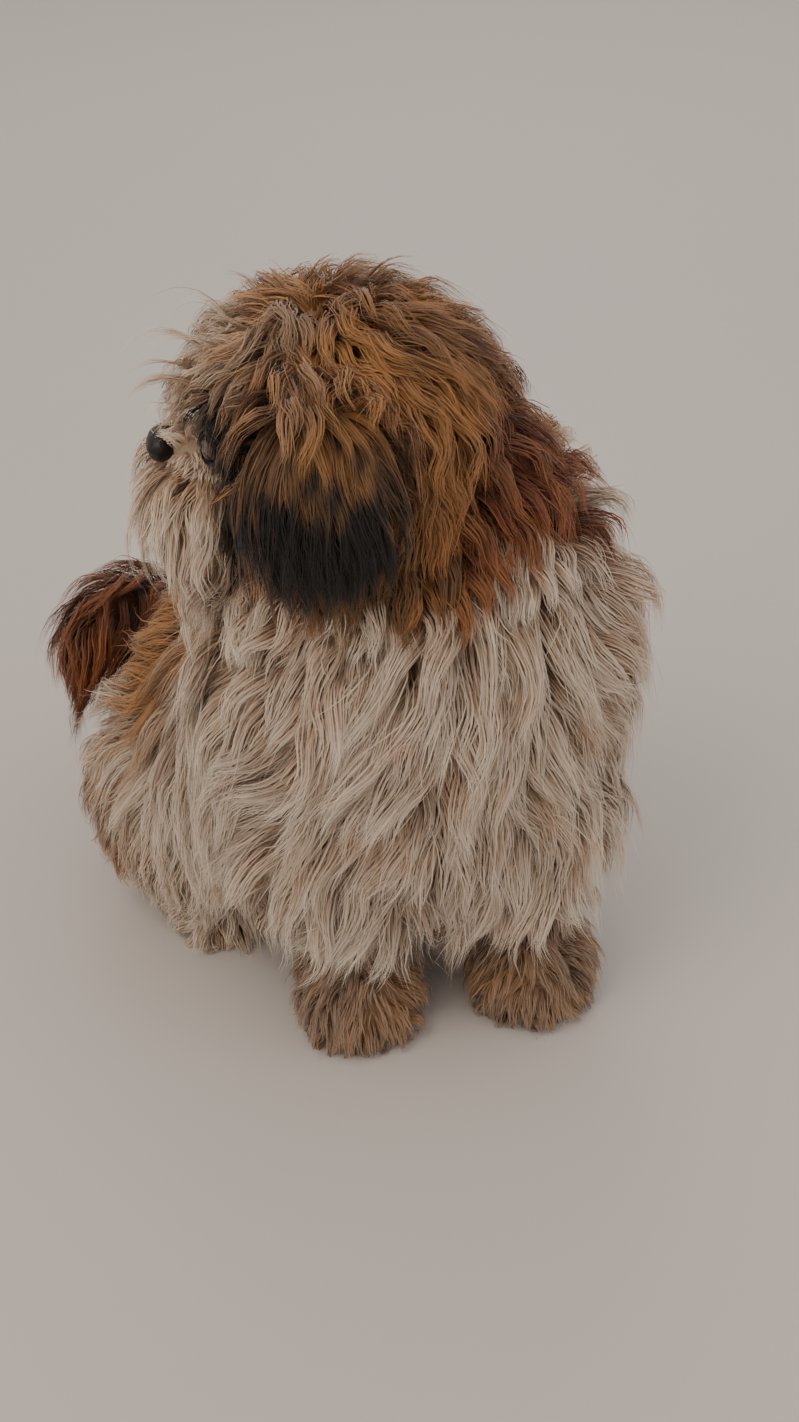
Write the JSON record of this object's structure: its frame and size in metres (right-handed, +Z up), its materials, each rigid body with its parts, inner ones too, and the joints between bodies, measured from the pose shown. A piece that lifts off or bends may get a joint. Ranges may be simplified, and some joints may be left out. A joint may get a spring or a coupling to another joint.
{
  "type": "shih tzu dog model",
  "caption": "Life-size still model of a long-coated shih tzu sitting on the floor, chest to the front, head turned to its right and tail curled over its hip.",
  "frame": {"origin": "middle of the bounding box on the floor that the dog sits on", "axes": "+Z up, -Y the way the chest faces, +X to the dog's left"},
  "size_m": [0.2802, 0.3212, 0.3579],
  "materials": {
    "cream_coat": "long wavy hair",
    "brown_coat": "long wavy hair",
    "dark_coat": "long straight hair",
    "tail_coat": "long feathered hair",
    "eye": "wet gloss",
    "nose_leather": "damp pebbled leather"
  },
  "bodies": {
    "root": {"torso": "cream_coat", "neck": "brown_coat", "head": "brown_coat", "nose": "nose_leather", "eye_left": "eye", "eye_right": "eye", "ear_left": "dark_coat", "ear_right": "dark_coat", "foreleg_left": "cream_coat", "foreleg_right": "cream_coat", "hindleg_left": "cream_coat", "hindleg_right": "cream_coat", "tail": "tail_coat"}
  },
  "joints": []
}
